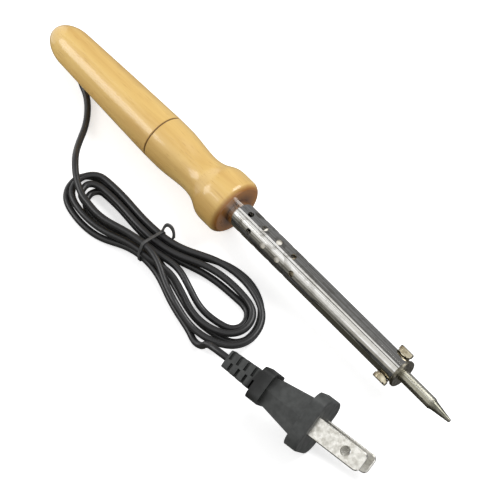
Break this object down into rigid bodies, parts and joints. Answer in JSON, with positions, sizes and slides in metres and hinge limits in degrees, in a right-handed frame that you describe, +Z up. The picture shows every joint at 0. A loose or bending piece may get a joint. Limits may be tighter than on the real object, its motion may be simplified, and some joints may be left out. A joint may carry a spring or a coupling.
{
  "type": "soldering iron",
  "caption": "Pencil soldering iron with a turned wooden handle, vented steel barrel, replaceable tip, and a wound cord with a moulded two-pin plug.",
  "frame": {"origin": "on the table under the middle of the iron's length, handle end to tip, on its axis", "axes": "+X from the handle's rear end to the tip, +Z up from the table, the cord and plug lie towards -Y"},
  "size_m": [0.188, 0.0528, 0.023],
  "materials": {
    "wood": "clear lacquered pale hardwood",
    "plated_steel": "bright plated steel tube",
    "screw_steel": "zinc plated",
    "tip_plating": "iron plated copper, satin",
    "ceramic": "matt fired ceramic",
    "mica": "mica wrap",
    "resistance_wire": "nichrome wire",
    "nickel": "nickel wire",
    "glass_sleeve": "woven glass sleeve",
    "tinned_brass": "tinned brass crimp",
    "fibre": "vulcanised fibre",
    "cord_black": "soft black PVC",
    "core_grey": "PVC core insulation",
    "plug_black": "moulded black PVC",
    "blade_metal": "nickel plated brass"
  },
  "bodies": {
    "handle": {"rear_handle": "wood", "core_a": "core_grey", "core_b": "core_grey", "cord_anchor": "fibre", "cord_inner": "cord_black", "cord_lead": "cord_black", "cord_hank": "cord_black", "cord_tail": "cord_black", "cord_tie": "plug_black", "plug_body": "plug_black", "plug_bridge": "plug_black", "blade_upper": "blade_metal", "blade_lower": "blade_metal", "plug_crimp_a": "tinned_brass", "plug_crimp_b": "tinned_brass", "plug_core_a": "core_grey", "plug_core_b": "core_grey", "plug_cord": "cord_black"},
    "front": {"front_handle": "wood", "barrel_retainer": "fibre", "barrel": "plated_steel", "barrel_collar": "plated_steel", "heater_core": "ceramic", "mica_inner": "mica", "heater_winding": "resistance_wire", "mica_outer": "mica", "insulator_bushing": "ceramic", "heater_lead_a": "nickel", "heater_lead_b": "nickel", "lead_sleeve_a": "glass_sleeve", "lead_sleeve_b": "glass_sleeve", "crimp_a": "tinned_brass", "crimp_b": "tinned_brass"},
    "tip": {"tip": "tip_plating"},
    "washer_left": {"tip_washer_left": "screw_steel"},
    "washer_right": {"tip_washer_right": "screw_steel"},
    "screw_left": {"tip_screw_left": "screw_steel"},
    "screw_right": {"tip_screw_right": "screw_steel"}
  },
  "joints": [
    {"name": "handle_pull", "type": "slide", "parent": "handle", "child": "front", "axis": [1, 0, 0], "range_m": [0, 0.009]},
    {"name": "tip_slide", "type": "slide", "parent": "front", "child": "tip", "axis": [1, 0, 0], "range_m": [0, 0.036]},
    {"name": "left_screw_travel", "type": "slide", "parent": "front", "child": "washer_left", "axis": [0, 0.9317, 0.3633], "range_m": [0, 0.00225]},
    {"name": "left_screw_turn", "type": "hinge", "parent": "washer_left", "child": "screw_left", "pos_m": [0.0692, 0, 0.0099], "axis": [0, 0.9317, 0.3633], "range_deg": [0, 1800]},
    {"name": "right_screw_travel", "type": "slide", "parent": "front", "child": "washer_right", "axis": [0, -0.9317, -0.3633], "range_m": [0, 0.00225]},
    {"name": "right_screw_turn", "type": "hinge", "parent": "washer_right", "child": "screw_right", "pos_m": [0.0692, 0, 0.0099], "axis": [0, -0.9317, -0.3633], "range_deg": [0, 1800]}
  ],
  "couplings": [
    {"joint": "left_screw_turn", "follows": "left_screw_travel", "rad_per_m": 13963},
    {"joint": "right_screw_turn", "follows": "right_screw_travel", "rad_per_m": 13963}
  ]
}
